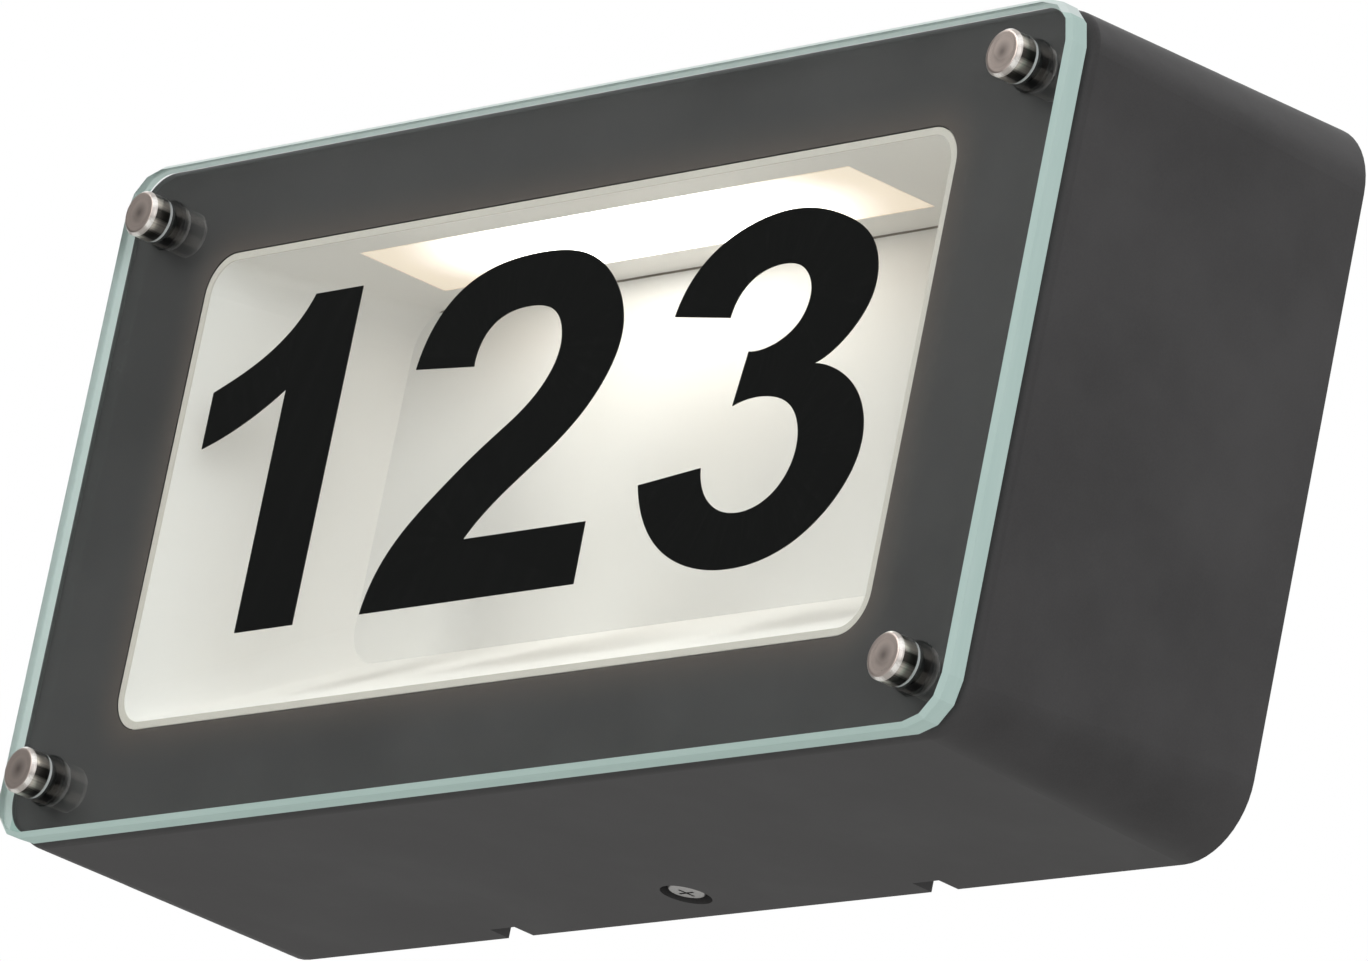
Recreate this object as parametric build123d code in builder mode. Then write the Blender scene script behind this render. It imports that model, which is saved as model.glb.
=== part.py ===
from build123d import *
from math import cos, radians, sin, tan
import os

os.makedirs("parts", exist_ok=True)

# Illuminated house number sign: a drafted housing with a lit window, behind a clear glass
# plate that carries the digits and stands on four steel caps.
# Lengths are in millimetres. The origin is the middle of the bracket's four wall holes, on
# the wall. +Z is up and the glass faces -Y. "out" is a distance in front of the wall.

# Glass plate and its fixings
glass_width = 300.0
glass_height = 150.0
glass_thickness = 5.0
glass_corner_r = 10.0
flats_per_corner = 3
front_bevel = 1.0
back_arris = 0.3
cap_inset = 13.0
cap_r = 5.0
cap_height = 4.7
cap_chamfer = 0.5
stud_r = 2.45
stud_bite = 10.0
stud_hole_depth = 14.0
clear_washer_r = 4.8
clear_washer_thickness = 0.6
spigot_length = 3.0
glass_hole_r = 3.5
black_washer_r = 5.5
black_washer_thickness = 0.8
digit_film = 0.2
digit_height = 74.2

# Housing
wall_gap = 0.5
housing_depth = 73.0
rear_width = 306.0
rear_height = 154.0
rear_corner_r = 16.0
side_wall = 3.0
front_wall = 2.5
front_edge_r = 2.4
window_width = 238.4
window_height = 106.0
window_corner_r = 8.7
pillar_r = 5.0
web_thickness = 3.0
ledge_width = 5.0
ledge_thickness = 4.0
notch_x = 66.5
notch_width = 8.0
notch_length = 5.3
notch_rise = 6.0

# Wall bracket, folded from sheet, and the screw that locks the lamp on it
sheet = 2.0
bracket_width = 200.0
bracket_height = 110.0
bracket_corner_r = 8.0
wall_hole_spacing_x = 120.0
wall_hole_spacing_z = 60.0
wall_hole_r = 2.75
bend_inside_r = 1.0
tongue_x = 60.0
tongue_width = 20.0
tongue_drop = 3.7
tongue_out = 15.0
lock_out = 12.3
lock_flange_width = 40.0
lock_flange_rise = 8.5
lock_flange_out = 18.5
grommet_bore_r = 4.5
grommet_spigot_r = 11.0
grommet_flange_r = 14.0
grommet_flange = 1.5
pocket_back = 4.0
pocket_depth = 10.0
pocket_wall = 2.5
shelf_thickness = 3.0
lock_boss_r = 6.5
lock_recess_r = 5.5
lock_recess_depth = 2.8
lock_shank_r = 2.0
lock_shank_length = 12.0
lock_head_r = 4.0
lock_head_height = 2.4
nut_width = 14.0
nut_depth = 8.0
nut_height = 4.0
nut_corner_r = 1.0
nut_travel = 6.5

# Rear cover
cover_back = 19.3
cover_thickness = 2.0
cover_play = 0.4
cover_gasket = 1.5
cover_gasket_width = 4.5
cover_pillar_depth = 14.0
cover_thread_depth = 10.0
cover_screw_bite = 9.0
cover_screw_inset = 13.0
guide_wall = 2.0
guide_back = 7.3
pad_r = 4.0
pad_height = 3.0

# Reflector tray
tray_wall = 1.6
tray_setback = 0.2
tray_play = 0.2
back_panel_depth = 45.0
back_panel_width = 192.0
back_panel_bottom = -27.3
back_panel_corner_r = 9.0
tray_gasket_thickness = 1.5
tray_gasket_margin = 1.3
tray_gasket_width = 3.5
tray_flange_rim_x = 11.8
tray_flange_rim_z = 12.0
tray_flange_corner_r = 20.0
tray_boss_r = 3.25
tray_thread_depth = 3.0
tray_screw_bite = 2.8
tray_screw_gap = 8.3
tray_screw_x = 100.0

# Diffuser and light engine, above the tray's ceiling
opening_setback = 24.5
opening_width = 155.0
opening_depth = 23.6
diffuser_play = 0.2
diffuser_seal_thickness = 0.8
diffuser_flange = 1.6
diffuser_rim_x = 3.0
diffuser_rim_front = 1.1
diffuser_rim_back = 2.4
carrier_boss_gap = 8.5
carrier_boss_r = 4.0
carrier_foot = 13.0
carrier_sheet = 1.5
carrier_depth = 20.8
carrier_rise = 9.5
carrier_gap = 0.5
board_end_gap = 2.5
board_depth = 20.0
board_thickness = 1.6
board_screw_inset = 3.5
chip_pitch = 12.0
chip_size = 3.0
chip_height = 0.7
board_lead_drop = 1.0

# Driver and terminals
driver_width = 100.0
driver_height = 24.0
driver_depth = 24.0
driver_rise = 19.0
driver_ear_x = 40.0
driver_ear_rise = 5.0
driver_ear_width = 9.0
driver_ear_thickness = 2.0
driver_corner_r = 2.0
driver_edge_r = 1.0
lead_step = 4.0
terminal_x = -68.0
terminal_width = 38.0
terminal_height = 16.0
terminal_depth = 12.0
terminal_corner_r = 1.0
terminal_socket = 4.0
terminal_pitch = 8.0
terminal_fixing_x = 15.0
terminal_lead_out = 10.3
terminal_screw_r = 1.8
terminal_screw_height = 1.8
terminal_well_r = 2.3
terminal_well_depth = 3.0
cover_grommet_x = -67.0
cover_grommet_r = 9.0
cover_grommet_flange_r = 11.0
earth_x = -100.0
earth_out = 11.0
earth_boss_r = 4.5
earth_boss_rise = 11.0
earth_hole_depth = 8.5
earth_screw_bite = 7.5
lug_thickness = 0.8
lug_ring_r = 4.0
lug_barrel_shift = 6.0
lug_barrel_r = 1.8
lug_barrel_height = 8.0

# Small screws, leads and fits
small_shank_r = 1.5
small_head_r = 2.75
small_head_height = 2.0
cross_width = 0.7
cross_length = 1.1
cross_depth = 0.55
head_round = 0.33
lead_r = 0.9
thread_play = 0.05
running_play = 0.05
loose_play = 0.3
slide_play = 0.1
lead_play = 0.1
lead_socket = 2.0
lead_swing = 26.0
led_lead_step = 8.0
board_lead_inset = 3.0
bend_share = 0.45

# Faces that stack up from the wall
housing_front = wall_gap + housing_depth
cavity_front = housing_front - front_wall
glass_back = housing_front + black_washer_thickness
glass_front = glass_back + glass_thickness
cap_seat = glass_front + clear_washer_thickness
cover_front = cover_back + cover_thickness
ledge_back = cover_front + cover_gasket
tray_front = housing_front - tray_setback
tray_flange_front = cavity_front - tray_gasket_thickness
tray_flange_back = tray_flange_front - tray_wall
back_panel_out = glass_front - back_panel_depth
opening_mid = glass_front - opening_setback

# Heights that stack up over the tray's ceiling
ceiling_z = window_height / 2 - tray_play - tray_wall
tray_top_z = ceiling_z + tray_wall
seal_top_z = tray_top_z + diffuser_seal_thickness
carrier_foot_z = seal_top_z + diffuser_flange
carrier_top_z = carrier_foot_z + carrier_rise
board_top_z = carrier_top_z - carrier_sheet
board_bottom_z = board_top_z - board_thickness

# The housing's widest and narrowest outline, and what keeps its distance from top or bottom
half_width = max(rear_width, glass_width) / 2
half_height = max(rear_height, glass_height) / 2
narrow_half_width = min(rear_width, glass_width) / 2
narrow_half_height = min(rear_height, glass_height) / 2
tongue_top = rear_height / 2 - tongue_drop
lock_flange_top = lock_flange_rise - rear_height / 2
earth_boss_top = earth_boss_rise - rear_height / 2
driver_mid_z = driver_rise - narrow_half_height

# Lower lock: the flange is held between the boss and the nut
lock_flange_bottom = lock_flange_top - sheet
lock_seat_z = lock_flange_bottom - slide_play
lock_wall_z = -(rear_height / 2 - (rear_height - glass_height) / 2 * (lock_out - wall_gap) / housing_depth)
lock_floor_z = lock_wall_z + lock_recess_depth

cap_x = glass_width / 2 - cap_inset
cap_z = glass_height / 2 - cap_inset
cap_centres = [(-cap_x, cap_z), (cap_x, cap_z), (-cap_x, -cap_z), (cap_x, -cap_z)]
cover_screw_x = narrow_half_width - cover_screw_inset
cover_screw_z = narrow_half_height - cover_screw_inset
cover_screw_centres = [
    (-cover_screw_x, cover_screw_z),
    (cover_screw_x, cover_screw_z),
    (-cover_screw_x, -cover_screw_z),
    (cover_screw_x, -cover_screw_z),
]
tray_screw_side = window_width / 2 + tray_screw_gap
tray_screw_z = window_height / 2 + tray_screw_gap
tray_screw_points = [
    (-tray_screw_side, 0),
    (tray_screw_side, 0),
    (-tray_screw_x, tray_screw_z),
    (tray_screw_x, tray_screw_z),
    (-tray_screw_x, -tray_screw_z),
    (tray_screw_x, -tray_screw_z),
]
carrier_boss_x = opening_width / 2 + carrier_boss_gap
carrier_inner_x = opening_width / 2 + carrier_gap
carrier_points = [(-carrier_boss_x, -opening_mid), (carrier_boss_x, -opening_mid)]
board_width = opening_width - 2 * board_end_gap
board_screw_x = board_width / 2 - board_screw_inset
chip_row = 2 * (board_screw_x - small_head_r) - chip_size
chip_count = int(chip_row // chip_pitch) + 1
board_points = [(-board_screw_x, -opening_mid), (board_screw_x, -opening_mid)]
terminal_poles = [terminal_x - terminal_pitch, terminal_x, terminal_x + terminal_pitch]
terminal_fixing_points = [(terminal_x - terminal_fixing_x, 0), (terminal_x + terminal_fixing_x, 0)]
driver_ear_z = driver_mid_z + driver_height / 2 + driver_ear_rise
driver_points = [(-driver_ear_x, driver_ear_z), (driver_ear_x, driver_ear_z)]
driver_lead_out = cover_front + driver_depth / 2
live_z = driver_mid_z + lead_step
neutral_z = driver_mid_z - lead_step
earth_barrel_x = earth_x + lug_barrel_shift

to_wall = (0, 1, 0)
to_front = (0, -1, 0)
upward = (0, 0, 1)
downward = (0, 0, -1)


def at(out):
    return Plane.XZ.offset(out)


def spot(x, out, z):
    return (x, -out, z)


# Width, height and corner radius of the drafted housing at one depth, "inset" inside its skin
def shell_size(out, inset):
    share = (out - wall_gap) / housing_depth
    width = rear_width + (glass_width - rear_width) * share
    height = rear_height + (glass_height - rear_height) * share
    corner = rear_corner_r + (glass_corner_r - rear_corner_r) * share
    return width - 2 * inset, height - 2 * inset, corner - inset


# The glass plate's outline, with each corner ground in short flats
def ground_outline():
    points = []
    for quarter, (side_x, side_z) in enumerate([(1, 1), (-1, 1), (-1, -1), (1, -1)]):
        centre_x = side_x * (glass_width / 2 - glass_corner_r)
        centre_z = side_z * (glass_height / 2 - glass_corner_r)
        for step in range(flats_per_corner + 1):
            angle = radians(90 * (quarter + step / flats_per_corner))
            points.append((centre_x + glass_corner_r * cos(angle), centre_z + glass_corner_r * sin(angle)))
    return points


def facing(direction, points):
    return [Plane(point, z_dir=direction) for point in points]


# A pan-head screw with a cross recess: its seat is at the origin and its head points along +Z.
# The cross's length is a share of the head's radius, and its depth a share of the head's height.
def pan_screw(shank_r, shank_length, head_r, head_height):
    with BuildPart() as screw:
        with BuildSketch():
            Circle(head_r)
        extrude(amount=head_height)
        fillet(screw.edges().sort_by(Axis.Z)[-1], head_round * head_height)
        with BuildSketch():
            Circle(shank_r)
        extrude(amount=-shank_length)
        with BuildSketch(Plane.XY.offset(head_height)):
            Rectangle(cross_length * head_r, cross_width)
            Rectangle(cross_width, cross_length * head_r)
        extrude(amount=-cross_depth * head_height, mode=Mode.SUBTRACT)
    return screw.part


def small_screw(shank_length):
    return pan_screw(small_shank_r, shank_length, small_head_r, small_head_height)


# Each bend of a lead is as large as its two runs allow
def bend_radii(points):
    radii = []
    for before, corner, after in zip(points, points[1:], points[2:]):
        run_in = Vector(corner) - Vector(before)
        run_out = Vector(after) - Vector(corner)
        half_turn = radians(run_in.get_angle(run_out)) / 2
        radii.append(bend_share * min(run_in.length, run_out.length) / tan(half_turn))
    return radii


def lead_tube(points, radius):
    with BuildPart() as tube:
        with BuildLine() as route:
            FilletPolyline(*points, radius=bend_radii(points))
        with BuildSketch(Plane(route.line @ 0, z_dir=route.line % 0)):
            Circle(radius)
        sweep()
    return tube.part


# Wall bracket

with BuildPart() as wall_bracket:
    tab_height = tongue_top - bracket_height / 2
    lock_tab_height = -bracket_height / 2 - lock_flange_bottom
    with BuildSketch(at(0)):
        RectangleRounded(bracket_width, bracket_height, bracket_corner_r)
        with Locations((-tongue_x, bracket_height / 2), (tongue_x, bracket_height / 2)):
            Rectangle(tongue_width, tab_height, align=(Align.CENTER, Align.MIN))
        with Locations((0, -bracket_height / 2)):
            Rectangle(lock_flange_width, lock_tab_height, align=(Align.CENTER, Align.MAX))
        with GridLocations(wall_hole_spacing_x, wall_hole_spacing_z, 2, 2):
            Circle(wall_hole_r, mode=Mode.SUBTRACT)
        Circle(grommet_spigot_r, mode=Mode.SUBTRACT)
    extrude(amount=sheet)
    # tongues that carry the lamp
    with BuildSketch(Plane.XY.offset(tongue_top)):
        with Locations((-tongue_x, 0), (tongue_x, 0)):
            Rectangle(tongue_width, tongue_out, align=(Align.CENTER, Align.MAX))
    extrude(amount=-sheet)
    # lower flange, with a notch that is open to the front for the lock screw
    with BuildSketch(Plane.XY.offset(lock_flange_bottom)):
        Rectangle(lock_flange_width, lock_flange_out, align=(Align.CENTER, Align.MAX))
        with Locations((0, -lock_out)):
            Circle(lock_shank_r + loose_play, mode=Mode.SUBTRACT)
            Rectangle(
                2 * (lock_shank_r + loose_play),
                lock_flange_out,
                align=(Align.CENTER, Align.MAX),
                mode=Mode.SUBTRACT,
            )
    extrude(amount=sheet)
    long_edges = wall_bracket.edges().filter_by(Axis.X).group_by(Axis.Z)
    inside_bends = long_edges[1].sort_by(Axis.Y)[-1:] + long_edges[-2].sort_by(Axis.Y)[-2:]
    outside_bends = long_edges[0].sort_by(Axis.Y)[-1:] + long_edges[-1].sort_by(Axis.Y)[-2:]
    fillet(inside_bends, bend_inside_r)
    fillet(outside_bends, bend_inside_r + sheet)

wall_bracket.part.label = "wall_bracket"
export_step(wall_bracket.part, "parts/wall_bracket.step")

with BuildPart() as bracket_grommet:
    with BuildSketch(at(0)):
        Circle(grommet_spigot_r)
        Circle(grommet_bore_r, mode=Mode.SUBTRACT)
    extrude(amount=sheet)
    with BuildSketch(at(sheet)):
        Circle(grommet_flange_r)
        Circle(grommet_bore_r, mode=Mode.SUBTRACT)
    extrude(amount=grommet_flange)

bracket_grommet.part.label = "bracket_grommet"
export_step(bracket_grommet.part, "parts/bracket_grommet.step")

# Housing

pillars = [
    (cap_x, cap_z, ledge_back, cavity_front),
    (cover_screw_x, cover_screw_z, cover_front, cover_front + cover_pillar_depth),
]

# The hollow inside the housing, with everything that stands in it left out
with BuildPart() as hollow:
    with BuildSketch(at(wall_gap)):
        RectangleRounded(*shell_size(wall_gap, side_wall))
    with BuildSketch(at(cavity_front)):
        RectangleRounded(*shell_size(cavity_front, side_wall))
    loft(ruled=True)
    # ledge that the rear cover's gasket lies on
    with BuildSketch(at(ledge_back)):
        Rectangle(2 * half_width, 2 * half_height)
        RectangleRounded(*shell_size(ledge_back, side_wall + ledge_width), mode=Mode.SUBTRACT)
    extrude(amount=ledge_thickness, mode=Mode.SUBTRACT)
    # corner pillars for the cap studs and for the cover's screws, tied to the walls by webs
    for pillar_x, pillar_z, pillar_back, pillar_front in pillars:
        with BuildSketch(at(pillar_back)):
            with GridLocations(2 * pillar_x, 2 * pillar_z, 2, 2):
                Circle(pillar_r)
        extrude(amount=pillar_front - pillar_back, mode=Mode.SUBTRACT)
        with BuildSketch(at(ledge_back)):
            with GridLocations(half_width + pillar_x, 2 * pillar_z, 2, 2):
                Rectangle(half_width - pillar_x, web_thickness)
            with GridLocations(2 * pillar_x, half_height + pillar_z, 2, 2):
                Rectangle(web_thickness, half_height - pillar_z)
        extrude(amount=pillar_front - ledge_back, mode=Mode.SUBTRACT)
    # pockets for the bracket's tongues
    pocket_inner_width = tongue_width + 2 * loose_play
    pocket_top = tongue_top + slide_play
    pocket_bottom = tongue_top - sheet - loose_play
    with BuildSketch(at(pocket_back)):
        with Locations((-tongue_x, rear_height / 2), (tongue_x, rear_height / 2)):
            Rectangle(
                pocket_inner_width + 2 * pocket_wall,
                rear_height / 2 - pocket_bottom + shelf_thickness,
                align=(Align.CENTER, Align.MAX),
            )
    extrude(amount=pocket_depth, mode=Mode.SUBTRACT)
    with BuildSketch(at(pocket_back)):
        with Locations((-tongue_x, pocket_top), (tongue_x, pocket_top)):
            Rectangle(pocket_inner_width, pocket_top - pocket_bottom, align=(Align.CENTER, Align.MAX))
    extrude(amount=pocket_depth)
    # bosses on the floor for the lock screw and the earth screw
    with BuildSketch(Plane.XY.offset(lock_seat_z)):
        with Locations((0, -lock_out)):
            Circle(lock_boss_r)
    extrude(amount=-half_height - lock_seat_z, mode=Mode.SUBTRACT)
    with BuildSketch(Plane.XY.offset(earth_boss_top)):
        with Locations((earth_x, -earth_out)):
            Circle(earth_boss_r)
    extrude(amount=-half_height - earth_boss_top, mode=Mode.SUBTRACT)
    # bosses that the tray's flange is pulled against
    with BuildSketch(at(tray_flange_front)):
        with Locations(*tray_screw_points):
            Circle(tray_boss_r)
    extrude(amount=tray_gasket_thickness, mode=Mode.SUBTRACT)

with BuildPart() as housing:
    with BuildSketch(at(wall_gap)):
        RectangleRounded(*shell_size(wall_gap, 0))
    with BuildSketch(at(housing_front)):
        RectangleRounded(*shell_size(housing_front, 0))
    loft(ruled=True)
    fillet(housing.faces().sort_by(Axis.Y)[0].edges(), front_edge_r)
    add(hollow.part, mode=Mode.SUBTRACT)
    with BuildSketch(at(cavity_front)):
        RectangleRounded(window_width, window_height, window_corner_r)
    extrude(amount=front_wall, mode=Mode.SUBTRACT)
    # threaded holes for the cap studs, the rear cover and the tray
    with BuildSketch(at(housing_front)):
        with Locations(*cap_centres):
            Circle(stud_r + thread_play)
    extrude(amount=-stud_hole_depth, mode=Mode.SUBTRACT)
    with BuildSketch(at(cover_front)):
        with Locations(*cover_screw_centres):
            Circle(small_shank_r + thread_play)
    extrude(amount=cover_thread_depth, mode=Mode.SUBTRACT)
    with BuildSketch(at(tray_flange_front)):
        with Locations(*tray_screw_points):
            Circle(small_shank_r + thread_play)
    extrude(amount=tray_thread_depth, mode=Mode.SUBTRACT)
    with BuildSketch(Plane.XY.offset(earth_boss_top)):
        with Locations((earth_x, -earth_out)):
            Circle(small_shank_r + thread_play)
    extrude(amount=-earth_hole_depth, mode=Mode.SUBTRACT)
    # recess and hole for the lock screw, from below
    with BuildSketch(Plane.XY.offset(lock_floor_z)):
        with Locations((0, -lock_out)):
            Circle(lock_recess_r)
    extrude(amount=-half_height - lock_floor_z, mode=Mode.SUBTRACT)
    with BuildSketch(Plane.XY.offset(lock_floor_z)):
        with Locations((0, -lock_out)):
            Circle(lock_shank_r + loose_play)
    extrude(amount=lock_seat_z - lock_floor_z, mode=Mode.SUBTRACT)
    # drain notches in the lower rear edge
    with BuildSketch(at(wall_gap)):
        with Locations((-notch_x, -rear_height / 2), (notch_x, -rear_height / 2)):
            Rectangle(notch_width, 2 * notch_rise)
    extrude(amount=notch_length, mode=Mode.SUBTRACT)

housing.part.label = "housing"
export_step(housing.part, "parts/housing.step")

# Lock screw and nut

lock_screw_shape = pan_screw(lock_shank_r, lock_shank_length, lock_head_r, lock_head_height)

with BuildPart() as lock_screw:
    with Locations(*facing(downward, [spot(0, lock_out, lock_floor_z)])):
        add(lock_screw_shape)

lock_screw.part.label = "lock_screw"
export_step(lock_screw.part, "parts/lock_screw.step")

with BuildPart() as clamp_nut:
    with BuildSketch(Plane.XY.offset(lock_flange_top)):
        with Locations((0, -lock_out)):
            RectangleRounded(nut_width, nut_depth, nut_corner_r)
            Circle(lock_shank_r + thread_play, mode=Mode.SUBTRACT)
    extrude(amount=nut_height)

clamp_nut.part.label = "clamp_nut"
export_step(clamp_nut.part, "parts/clamp_nut.step")

# Rear cover

cover_size = shell_size(cover_front, side_wall + cover_play)
guide_slot_bottom = lock_flange_top + loose_play
guide_slot_top = lock_flange_top + nut_height + nut_travel

with BuildPart() as rear_cover:
    with BuildSketch(at(cover_back)):
        RectangleRounded(*cover_size)
    extrude(amount=cover_thickness)
    # pads under the driver's ears and over the terminal block's screws
    with BuildSketch(at(cover_front)):
        with Locations(*driver_points, *terminal_fixing_points):
            Circle(pad_r)
    extrude(amount=pad_height)
    # guide that keeps the nut from turning
    with BuildSketch(at(cover_back)):
        with Locations((0, guide_slot_bottom)):
            Rectangle(
                nut_width + 2 * (slide_play + guide_wall),
                guide_slot_top + guide_wall - guide_slot_bottom,
                align=(Align.CENTER, Align.MIN),
            )
            Rectangle(
                nut_width + 2 * slide_play,
                guide_slot_top - guide_slot_bottom,
                align=(Align.CENTER, Align.MIN),
                mode=Mode.SUBTRACT,
            )
    extrude(amount=guide_back - cover_back)
    with BuildSketch(at(cover_back)):
        with Locations(*cover_screw_centres):
            Circle(small_shank_r + loose_play)
        with Locations((cover_grommet_x, driver_mid_z)):
            Circle(cover_grommet_r)
    extrude(amount=cover_thickness, mode=Mode.SUBTRACT)
    # blind threads, for the driver from the front and the terminal block from the back
    with BuildSketch(at(cover_front + pad_height)):
        with Locations(*driver_points):
            Circle(small_shank_r + thread_play)
    extrude(amount=-(pad_height + cover_thickness / 2), mode=Mode.SUBTRACT)
    with BuildSketch(at(cover_back)):
        with Locations(*terminal_fixing_points):
            Circle(small_shank_r + thread_play)
    extrude(amount=cover_thickness + pad_height / 2, mode=Mode.SUBTRACT)

rear_cover.part.label = "rear_cover"
export_step(rear_cover.part, "parts/rear_cover.step")

with BuildPart() as rear_gasket:
    with BuildSketch(at(cover_front)):
        RectangleRounded(*cover_size)
        RectangleRounded(
            cover_size[0] - 2 * cover_gasket_width,
            cover_size[1] - 2 * cover_gasket_width,
            cover_size[2] - cover_gasket_width,
            mode=Mode.SUBTRACT,
        )
    extrude(amount=cover_gasket)

rear_gasket.part.label = "rear_gasket"
export_step(rear_gasket.part, "parts/rear_gasket.step")

cover_screw_shape = small_screw(cover_thickness + cover_screw_bite)

with BuildPart() as rear_cover_screws:
    with Locations(*facing(to_wall, [spot(x, cover_back, z) for x, z in cover_screw_centres])):
        add(cover_screw_shape)

rear_cover_screws.part.label = "rear_cover_screws"
export_step(rear_cover_screws.part, "parts/rear_cover_screws.step")

# Reflector tray

tray_mouth = (window_width - 2 * tray_play, window_height - 2 * tray_play, window_corner_r - tray_play)
panel_height = ceiling_z - back_panel_bottom
panel_mid_z = (ceiling_z + back_panel_bottom) / 2

with BuildPart() as reflector_tray:
    with BuildSketch(at(tray_front)):
        RectangleRounded(*tray_mouth)
    with BuildSketch(at(back_panel_out - tray_wall)):
        with Locations((0, panel_mid_z)):
            RectangleRounded(
                back_panel_width + 2 * tray_wall,
                panel_height + 2 * tray_wall,
                back_panel_corner_r + tray_wall,
            )
    loft(ruled=True)
    with BuildSketch(at(tray_flange_back)):
        RectangleRounded(
            window_width + 2 * tray_flange_rim_x,
            window_height + 2 * tray_flange_rim_z,
            tray_flange_corner_r,
        )
    extrude(amount=tray_wall)
    with BuildSketch(Plane.XY.offset(tray_top_z)):
        with Locations(*carrier_points):
            Circle(carrier_boss_r)
    extrude(amount=carrier_foot_z - tray_top_z)
    # the lit hollow
    with BuildSketch(at(tray_front)):
        RectangleRounded(
            tray_mouth[0] - 2 * tray_wall,
            tray_mouth[1] - 2 * tray_wall,
            tray_mouth[2] - tray_wall,
        )
    with BuildSketch(at(back_panel_out)):
        with Locations((0, panel_mid_z)):
            RectangleRounded(back_panel_width, panel_height, back_panel_corner_r)
    loft(ruled=True, mode=Mode.SUBTRACT)
    with BuildSketch(Plane.XY.offset(ceiling_z)):
        with Locations((0, -opening_mid)):
            Rectangle(opening_width, opening_depth)
    extrude(amount=tray_wall, mode=Mode.SUBTRACT)
    with BuildSketch(Plane.XY.offset(carrier_foot_z)):
        with Locations(*carrier_points):
            Circle(small_shank_r + thread_play)
    extrude(amount=ceiling_z + tray_wall / 2 - carrier_foot_z, mode=Mode.SUBTRACT)
    with BuildSketch(at(tray_flange_back)):
        with Locations(*tray_screw_points):
            Circle(small_shank_r + running_play)
    extrude(amount=tray_wall, mode=Mode.SUBTRACT)

reflector_tray.part.label = "reflector_tray"
export_step(reflector_tray.part, "parts/reflector_tray.step")

gasket_inner = [size + 2 * tray_gasket_margin for size in (window_width, window_height)]
gasket_outer = [size + 2 * tray_gasket_width for size in gasket_inner]

with BuildPart() as tray_gasket:
    with BuildSketch(at(tray_flange_front)):
        RectangleRounded(*gasket_outer, window_corner_r + tray_gasket_margin + tray_gasket_width)
        RectangleRounded(*gasket_inner, window_corner_r + tray_gasket_margin, mode=Mode.SUBTRACT)
    extrude(amount=tray_gasket_thickness)

tray_gasket.part.label = "tray_gasket"
export_step(tray_gasket.part, "parts/tray_gasket.step")

tray_screw_shape = small_screw(tray_wall + tray_screw_bite)

with BuildPart() as tray_screws:
    with Locations(*facing(to_wall, [spot(x, tray_flange_back, z) for x, z in tray_screw_points])):
        add(tray_screw_shape)

tray_screws.part.label = "tray_screws"
export_step(tray_screws.part, "parts/tray_screws.step")

# Diffuser and light engine

rim_width = opening_width + 2 * diffuser_rim_x
rim_depth = opening_depth + diffuser_rim_front + diffuser_rim_back
rim_mid = opening_mid + (diffuser_rim_front - diffuser_rim_back) / 2

with BuildPart() as diffuser_seal:
    with BuildSketch(Plane.XY.offset(tray_top_z)):
        with Locations((0, -rim_mid)):
            Rectangle(rim_width, rim_depth)
        with Locations((0, -opening_mid)):
            Rectangle(opening_width, opening_depth, mode=Mode.SUBTRACT)
    extrude(amount=diffuser_seal_thickness)

diffuser_seal.part.label = "diffuser_seal"
export_step(diffuser_seal.part, "parts/diffuser_seal.step")

with BuildPart() as diffuser:
    with BuildSketch(Plane.XY.offset(ceiling_z)):
        with Locations((0, -opening_mid)):
            Rectangle(opening_width - 2 * diffuser_play, opening_depth - 2 * diffuser_play)
    extrude(amount=seal_top_z - ceiling_z)
    chamfer(diffuser.faces().sort_by(Axis.Z)[0].edges(), diffuser_play)
    with BuildSketch(Plane.XY.offset(seal_top_z)):
        with Locations((0, -rim_mid)):
            Rectangle(rim_width, rim_depth)
    extrude(amount=diffuser_flange)

diffuser.part.label = "diffuser"
export_step(diffuser.part, "parts/diffuser.step")

with BuildPart() as led_carrier:
    carrier_outer_x = carrier_inner_x + carrier_sheet
    with BuildSketch(at(opening_mid - carrier_depth / 2)):
        with Locations((0, carrier_top_z)):
            Rectangle(2 * carrier_outer_x, carrier_sheet, align=(Align.CENTER, Align.MAX))
        with Locations((-carrier_outer_x, carrier_foot_z)):
            Rectangle(carrier_sheet, carrier_rise, align=(Align.MIN, Align.MIN))
        with Locations((carrier_outer_x, carrier_foot_z)):
            Rectangle(carrier_sheet, carrier_rise, align=(Align.MAX, Align.MIN))
        with Locations((-carrier_inner_x, carrier_foot_z)):
            Rectangle(carrier_foot, carrier_sheet, align=(Align.MAX, Align.MIN))
        with Locations((carrier_inner_x, carrier_foot_z)):
            Rectangle(carrier_foot, carrier_sheet, align=(Align.MIN, Align.MIN))
    extrude(amount=carrier_depth)
    fillet(led_carrier.edges().filter_by(Axis.Y).group_by(Axis.Z)[-1], carrier_sheet)
    with BuildSketch(Plane.XY.offset(carrier_foot_z)):
        with Locations(*carrier_points):
            Circle(small_shank_r + loose_play)
    extrude(amount=carrier_sheet, mode=Mode.SUBTRACT)
    with BuildSketch(Plane.XY.offset(board_top_z)):
        with Locations(*board_points):
            Circle(small_shank_r + thread_play)
    extrude(amount=carrier_sheet, mode=Mode.SUBTRACT)

led_carrier.part.label = "led_carrier"
export_step(led_carrier.part, "parts/led_carrier.step")

carrier_screw_shape = small_screw(carrier_sheet + carrier_foot_z - tray_top_z)

with BuildPart() as carrier_screws:
    screw_seat_z = carrier_foot_z + carrier_sheet
    with Locations(*facing(upward, [(x, y, screw_seat_z) for x, y in carrier_points])):
        add(carrier_screw_shape)

carrier_screws.part.label = "carrier_screws"
export_step(carrier_screws.part, "parts/carrier_screws.step")

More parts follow.
